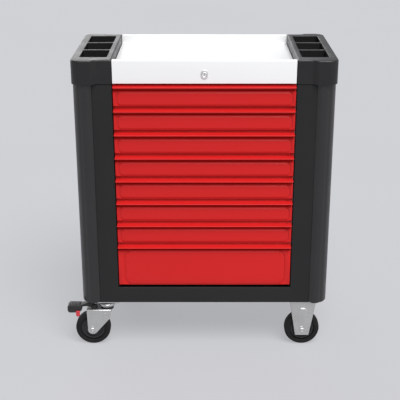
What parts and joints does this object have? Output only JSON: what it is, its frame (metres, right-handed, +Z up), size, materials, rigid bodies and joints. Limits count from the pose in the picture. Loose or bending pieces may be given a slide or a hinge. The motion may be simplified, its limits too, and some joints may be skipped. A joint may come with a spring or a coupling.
{
  "type": "rolling tool chest",
  "caption": "Rolling tool chest with full-width drawers on telescopic slides, recessed worktop, divided side trays, central lock and swivel and fixed casters.",
  "frame": {"origin": "bottom centre of the bounding box, on the floor", "axes": "+Z up, +X to the right of a person facing the drawers, +Y towards the back; the drawers open along -Y and the chest rolls along X"},
  "size_m": [0.927, 0.474, 1.048],
  "materials": {
    "dark_steel": "satin fine-textured powder coat, anthracite",
    "drawer_steel": "satin powder coat, anthracite",
    "red_steel": "satin red powder coat",
    "white_steel": "satin white powder coat",
    "dark_plastic": "fine-grained moulded plastic, anthracite",
    "black_plastic": "fine-grained moulded plastic, black",
    "zinc_steel": "satin zinc plating",
    "lock_metal": "satin nickel",
    "tyre": "matt dark rubber"
  },
  "bodies": {
    "cabinet": {"front_frame": "dark_steel", "back_panel": "dark_steel", "floor_pan": "dark_steel", "worktop": "white_steel", "left_side_panel": "dark_steel", "left_cladding": "dark_plastic", "left_tray": "dark_plastic", "right_side_panel": "dark_steel", "right_cladding": "dark_plastic", "right_tray": "dark_plastic", "front_swivel_plate": "zinc_steel", "front_fixed_bracket": "zinc_steel", "front_fixed_axle": "zinc_steel", "rear_swivel_plate": "zinc_steel", "rear_fixed_bracket": "zinc_steel", "rear_fixed_axle": "zinc_steel"},
    "drawer_1": {"drawer_1_front": "red_steel", "drawer_1_box": "drawer_steel"},
    "drawer_1_slides": {"drawer_1_slide_left": "zinc_steel", "drawer_1_slide_right": "zinc_steel"},
    "drawer_2": {"drawer_2_front": "red_steel", "drawer_2_box": "drawer_steel"},
    "drawer_2_slides": {"drawer_2_slide_left": "zinc_steel", "drawer_2_slide_right": "zinc_steel"},
    "drawer_3": {"drawer_3_front": "red_steel", "drawer_3_box": "drawer_steel"},
    "drawer_3_slides": {"drawer_3_slide_left": "zinc_steel", "drawer_3_slide_right": "zinc_steel"},
    "drawer_4": {"drawer_4_front": "red_steel", "drawer_4_box": "drawer_steel"},
    "drawer_4_slides": {"drawer_4_slide_left": "zinc_steel", "drawer_4_slide_right": "zinc_steel"},
    "drawer_5": {"drawer_5_front": "red_steel", "drawer_5_box": "drawer_steel"},
    "drawer_5_slides": {"drawer_5_slide_left": "zinc_steel", "drawer_5_slide_right": "zinc_steel"},
    "drawer_6": {"drawer_6_front": "red_steel", "drawer_6_box": "drawer_steel"},
    "drawer_6_slides": {"drawer_6_slide_left": "zinc_steel", "drawer_6_slide_right": "zinc_steel"},
    "drawer_7": {"drawer_7_front": "red_steel", "drawer_7_box": "drawer_steel"},
    "drawer_7_slides": {"drawer_7_slide_left": "zinc_steel", "drawer_7_slide_right": "zinc_steel"},
    "drawer_8": {"drawer_8_front": "red_steel", "drawer_8_box": "drawer_steel"},
    "drawer_8_slides": {"drawer_8_slide_left": "zinc_steel", "drawer_8_slide_right": "zinc_steel"},
    "lock_barrel": {"lock_barrel": "lock_metal"},
    "lock_bar": {"lock_bar": "zinc_steel"},
    "front_swivel": {"front_swivel_fork": "zinc_steel", "front_swivel_axle": "zinc_steel"},
    "front_swivel_wheel": {"front_swivel_wheel": "tyre"},
    "front_fixed_wheel": {"front_fixed_wheel": "tyre"},
    "front_brake_pedal": {"front_brake_pedal": "black_plastic"},
    "rear_swivel": {"rear_swivel_fork": "zinc_steel", "rear_swivel_axle": "zinc_steel"},
    "rear_swivel_wheel": {"rear_swivel_wheel": "tyre"},
    "rear_fixed_wheel": {"rear_fixed_wheel": "tyre"},
    "rear_brake_pedal": {"rear_brake_pedal": "black_plastic"}
  },
  "joints": [
    {"name": "drawer_1_travel", "type": "slide", "parent": "cabinet", "child": "drawer_1", "axis": [0, -1, 0], "range_m": [0, 0.38]},
    {"name": "drawer_1_slides_travel", "type": "slide", "parent": "cabinet", "child": "drawer_1_slides", "axis": [0, -1, 0], "range_m": [0, 0.19]},
    {"name": "drawer_2_travel", "type": "slide", "parent": "cabinet", "child": "drawer_2", "axis": [0, -1, 0], "range_m": [0, 0.38]},
    {"name": "drawer_2_slides_travel", "type": "slide", "parent": "cabinet", "child": "drawer_2_slides", "axis": [0, -1, 0], "range_m": [0, 0.19]},
    {"name": "drawer_3_travel", "type": "slide", "parent": "cabinet", "child": "drawer_3", "axis": [0, -1, 0], "range_m": [0, 0.38]},
    {"name": "drawer_3_slides_travel", "type": "slide", "parent": "cabinet", "child": "drawer_3_slides", "axis": [0, -1, 0], "range_m": [0, 0.19]},
    {"name": "drawer_4_travel", "type": "slide", "parent": "cabinet", "child": "drawer_4", "axis": [0, -1, 0], "range_m": [0, 0.38]},
    {"name": "drawer_4_slides_travel", "type": "slide", "parent": "cabinet", "child": "drawer_4_slides", "axis": [0, -1, 0], "range_m": [0, 0.19]},
    {"name": "drawer_5_travel", "type": "slide", "parent": "cabinet", "child": "drawer_5", "axis": [0, -1, 0], "range_m": [0, 0.38]},
    {"name": "drawer_5_slides_travel", "type": "slide", "parent": "cabinet", "child": "drawer_5_slides", "axis": [0, -1, 0], "range_m": [0, 0.19]},
    {"name": "drawer_6_travel", "type": "slide", "parent": "cabinet", "child": "drawer_6", "axis": [0, -1, 0], "range_m": [0, 0.38]},
    {"name": "drawer_6_slides_travel", "type": "slide", "parent": "cabinet", "child": "drawer_6_slides", "axis": [0, -1, 0], "range_m": [0, 0.19]},
    {"name": "drawer_7_travel", "type": "slide", "parent": "cabinet", "child": "drawer_7", "axis": [0, -1, 0], "range_m": [0, 0.38]},
    {"name": "drawer_7_slides_travel", "type": "slide", "parent": "cabinet", "child": "drawer_7_slides", "axis": [0, -1, 0], "range_m": [0, 0.19]},
    {"name": "drawer_8_travel", "type": "slide", "parent": "cabinet", "child": "drawer_8", "axis": [0, -1, 0], "range_m": [0, 0.38]},
    {"name": "drawer_8_slides_travel", "type": "slide", "parent": "cabinet", "child": "drawer_8_slides", "axis": [0, -1, 0], "range_m": [0, 0.19]},
    {"name": "lock_turn", "type": "hinge", "parent": "cabinet", "child": "lock_barrel", "pos_m": [0.0275, -0.224, 1.001], "axis": [0, 1, 0], "range_deg": [0, 90]},
    {"name": "lock_bar_travel", "type": "slide", "parent": "cabinet", "child": "lock_bar", "axis": [0, 0, -1], "range_m": [0, 0.009]},
    {"name": "front_caster_swivel", "type": "hinge", "parent": "cabinet", "child": "front_swivel", "pos_m": [-0.3215, -0.185, 0.15], "axis": [0, 0, 1], "continuous": true},
    {"name": "front_swivel_wheel_spin", "type": "hinge", "parent": "front_swivel", "child": "front_swivel_wheel", "pos_m": [-0.3745, -0.185, 0.0625], "axis": [0, 1, 0], "continuous": true},
    {"name": "front_brake_press", "type": "hinge", "parent": "front_swivel", "child": "front_brake_pedal", "pos_m": [-0.3685, -0.185, 0.152], "axis": [0, -1, 0], "range_deg": [0, 10]},
    {"name": "front_fixed_wheel_spin", "type": "hinge", "parent": "cabinet", "child": "front_fixed_wheel", "pos_m": [0.379, -0.185, 0.0625], "axis": [0, 1, 0], "continuous": true},
    {"name": "rear_caster_swivel", "type": "hinge", "parent": "cabinet", "child": "rear_swivel", "pos_m": [-0.3215, 0.185, 0.15], "axis": [0, 0, 1], "continuous": true},
    {"name": "rear_swivel_wheel_spin", "type": "hinge", "parent": "rear_swivel", "child": "rear_swivel_wheel", "pos_m": [-0.2685, 0.185, 0.0625], "axis": [0, 1, 0], "continuous": true},
    {"name": "rear_brake_press", "type": "hinge", "parent": "rear_swivel", "child": "rear_brake_pedal", "pos_m": [-0.2745, 0.185, 0.152], "axis": [0, 1, 0], "range_deg": [0, 10]},
    {"name": "rear_fixed_wheel_spin", "type": "hinge", "parent": "cabinet", "child": "rear_fixed_wheel", "pos_m": [0.379, 0.185, 0.0625], "axis": [0, 1, 0], "continuous": true}
  ],
  "couplings": [
    {"joint": "drawer_1_slides_travel", "follows": "drawer_1_travel", "ratio": 0.5},
    {"joint": "drawer_2_slides_travel", "follows": "drawer_2_travel", "ratio": 0.5},
    {"joint": "drawer_3_slides_travel", "follows": "drawer_3_travel", "ratio": 0.5},
    {"joint": "drawer_4_slides_travel", "follows": "drawer_4_travel", "ratio": 0.5},
    {"joint": "drawer_5_slides_travel", "follows": "drawer_5_travel", "ratio": 0.5},
    {"joint": "drawer_6_slides_travel", "follows": "drawer_6_travel", "ratio": 0.5},
    {"joint": "drawer_7_slides_travel", "follows": "drawer_7_travel", "ratio": 0.5},
    {"joint": "drawer_8_slides_travel", "follows": "drawer_8_travel", "ratio": 0.5},
    {"joint": "lock_turn", "follows": "lock_bar_travel", "rad_per_m": 174.5}
  ]
}
